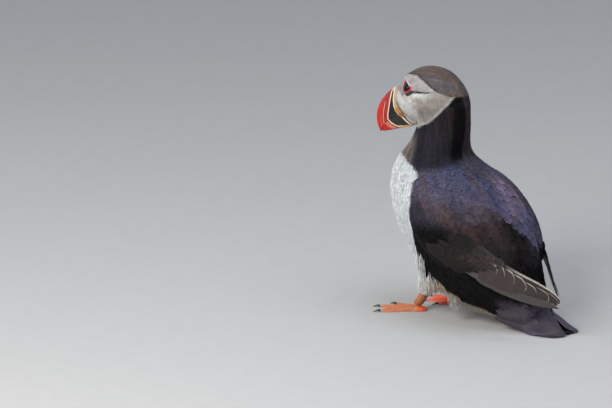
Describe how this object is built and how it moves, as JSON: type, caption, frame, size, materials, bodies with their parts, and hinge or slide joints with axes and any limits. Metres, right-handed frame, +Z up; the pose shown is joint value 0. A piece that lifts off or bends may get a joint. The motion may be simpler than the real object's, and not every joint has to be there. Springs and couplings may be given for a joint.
{
  "type": "atlantic puffin",
  "caption": "Life-size Atlantic puffin standing upright on both feet with its tail on the floor, head turned a little to its left.",
  "frame": {"origin": "on the floor, in the middle of the whole bird's box", "axes": "+Z up; -Y the way the body faces; +X the bird's left, across the body"},
  "size_m": [0.1112, 0.2184, 0.2164],
  "materials": {
    "face_plumage": "soft pale grey velvety feathers with a dark crown",
    "dark_plumage": "black feathers with a blue-violet sheen",
    "white_plumage": "soft white feathers",
    "flight_feathers": "smooth grey-brown flight feathers with pale edges",
    "bill_horn": "satin horn, red-orange with cream ridges and a slate base",
    "eye": "wet and glossy, dark brown with a red orbital ring",
    "orange_skin": "scaly orange-red skin",
    "claw_horn": "dark satin horn"
  },
  "bodies": {
    "root": {"claw_left_inner": "claw_horn", "claw_left_middle": "claw_horn", "claw_left_outer": "claw_horn", "claw_right_inner": "claw_horn", "claw_right_middle": "claw_horn", "claw_right_outer": "claw_horn", "eye_left": "eye", "eye_right": "eye", "foot_left": "orange_skin", "foot_right": "orange_skin", "head": "face_plumage", "lower_bill": "bill_horn", "neck": "dark_plumage", "rump": "dark_plumage", "shank_left": "orange_skin", "shank_right": "orange_skin", "tail": "dark_plumage", "thigh_left": "white_plumage", "thigh_right": "white_plumage", "trunk": "white_plumage", "upper_bill": "bill_horn", "wing_left_arm": "dark_plumage", "wing_left_flight": "flight_feathers", "wing_right_arm": "dark_plumage", "wing_right_flight": "flight_feathers"}
  },
  "joints": []
}
